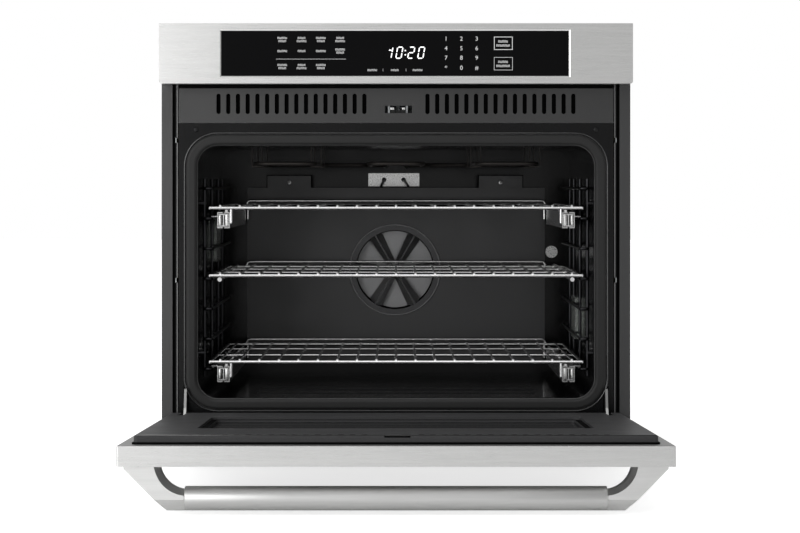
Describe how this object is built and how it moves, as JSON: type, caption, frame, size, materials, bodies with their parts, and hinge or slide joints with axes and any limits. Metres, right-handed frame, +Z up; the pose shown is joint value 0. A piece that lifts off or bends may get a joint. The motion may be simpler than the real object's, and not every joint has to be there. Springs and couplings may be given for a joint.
{
  "type": "wall oven",
  "caption": "Built-in wall oven with a drop-down door, bar handle, pull-out wire racks on ball slides, a convection fan and a touch control panel.",
  "frame": {"origin": "centre of the base pan's underside, where the oven rests in its cabinet", "axes": "+Z up, -Y is the front that the door opens towards, +X to the viewer's right"},
  "size_m": [0.7588, 1.1442, 0.7105],
  "materials": {
    "galvanised_sheet": "dull zinc-coated steel",
    "brushed_stainless": "horizontal brushed grain",
    "handle_steel": "fine brushed tube",
    "bracket_steel": "satin casting",
    "frame_enamel": "semi-gloss black enamel",
    "fascia_paint": "satin black paint",
    "trim_paint": "satin black paint",
    "cavity_enamel": "gloss black enamel",
    "baffle_enamel": "satin black enamel",
    "liner_enamel": "satin grey-black enamel",
    "gasket_braid": "braided glass-fibre tube",
    "mineral_wool": "matted fibre",
    "element_sheath": "oxidised nickel alloy",
    "bright_steel": "bright rolled steel",
    "screw_steel": "dark zinc",
    "motor_steel": "plain steel",
    "sensor_black": "black oxide",
    "lamp_glass": "clear pressed glass",
    "bulb_glass": "frosted glass",
    "rack_chrome": "bright wire",
    "ladder_wire": "dark bright wire",
    "slide_steel": "bright plated steel",
    "control_glass": "black glass",
    "circuit_board": "green laminate",
    "display_unit": "dark module",
    "door_glass": "dark heat-reflecting glass",
    "outer_glass": "black tinted glass",
    "fan_steel": "plain stamped steel",
    "blower_plastic": "black moulded"
  },
  "bodies": {
    "chassis": {"base_pan": "galvanised_sheet", "side_panel_left": "galvanised_sheet", "side_panel_right": "galvanised_sheet", "top_cover": "galvanised_sheet", "rear_cover": "galvanised_sheet", "side_trims": "trim_paint", "bottom_trim": "trim_paint", "front_frame": "frame_enamel", "cover_screws": "screw_steel", "vent_fascia": "fascia_paint", "oven_cavity": "cavity_enamel", "door_gasket": "gasket_braid", "insulation_wrap": "mineral_wool", "bake_element": "element_sheath", "broil_element": "element_sheath", "element_brackets": "element_sheath", "convection_element": "element_sheath", "fan_baffle": "baffle_enamel", "fan_guard": "fan_steel", "convection_motor": "motor_steel", "sensor_plate": "bright_steel", "sensor_rods": "sensor_black", "probe_jack": "bright_steel", "lamp_lenses": "lamp_glass", "lamp_housings": "galvanised_sheet", "lamp_bulbs": "bulb_glass", "rack_ladders": "ladder_wire", "slide_rails": "slide_steel", "control_panel": "brushed_stainless", "control_glass": "control_glass", "control_board": "circuit_board", "clock_display": "display_unit", "air_divider": "galvanised_sheet", "relay_board": "circuit_board", "blower_housing": "galvanised_sheet", "blower_motor": "motor_steel", "latch_bracket": "galvanised_sheet", "hinge_receivers": "galvanised_sheet", "hinge_arms": "bright_steel", "junction_box": "galvanised_sheet"},
    "door": {"door_skin": "brushed_stainless", "door_liner": "liner_enamel", "inner_panes": "door_glass", "outer_glass": "outer_glass", "glass_frame": "galvanised_sheet", "door_insulation": "mineral_wool", "handle_bar": "handle_steel", "handle_brackets": "bracket_steel", "handle_screws": "screw_steel", "hinge_channels": "galvanised_sheet"},
    "upper_rack": {"rack_upper": "rack_chrome", "slide_inner_upper": "slide_steel"},
    "middle_rack": {"rack_middle": "rack_chrome"},
    "lower_rack": {"rack_lower": "rack_chrome", "slide_inner_lower": "slide_steel"},
    "upper_slides": {"slide_middle_upper": "slide_steel"},
    "lower_slides": {"slide_middle_lower": "slide_steel"},
    "convection_fan": {"fan_wheel": "fan_steel"},
    "cooling_fan": {"blower_wheel": "blower_plastic"},
    "door_lock": {"latch_bolt": "bright_steel"}
  },
  "joints": [
    {"name": "door_hinge", "type": "hinge", "parent": "chassis", "child": "door", "pos_m": [0, -0.311, 0.059], "axis": [1, 0, 0], "range_deg": [-87.5, 0]},
    {"name": "upper_rack_slide", "type": "slide", "parent": "chassis", "child": "upper_rack", "axis": [0, -1, 0], "range_m": [0, 0.32]},
    {"name": "middle_rack_slide", "type": "slide", "parent": "chassis", "child": "middle_rack", "axis": [0, -1, 0], "range_m": [0, 0.25]},
    {"name": "lower_rack_slide", "type": "slide", "parent": "chassis", "child": "lower_rack", "axis": [0, -1, 0], "range_m": [0, 0.32]},
    {"name": "upper_slide_extension", "type": "slide", "parent": "chassis", "child": "upper_slides", "axis": [0, -1, 0], "range_m": [0, 0.16]},
    {"name": "lower_slide_extension", "type": "slide", "parent": "chassis", "child": "lower_slides", "axis": [0, -1, 0], "range_m": [0, 0.16]},
    {"name": "convection_fan_spin", "type": "hinge", "parent": "chassis", "child": "convection_fan", "pos_m": [-0.002, 0.18, 0.297], "axis": [0, 1, 0], "continuous": true},
    {"name": "cooling_fan_spin", "type": "hinge", "parent": "chassis", "child": "cooling_fan", "pos_m": [-0.14, 0.06, 0.6], "axis": [0, 0, 1], "continuous": true},
    {"name": "lock_travel", "type": "slide", "parent": "chassis", "child": "door_lock", "axis": [0, -1, 0], "range_m": [0, 0.012]}
  ],
  "couplings": [
    {"joint": "upper_slide_extension", "follows": "upper_rack_slide", "ratio": 0.5},
    {"joint": "lower_slide_extension", "follows": "lower_rack_slide", "ratio": 0.5}
  ]
}
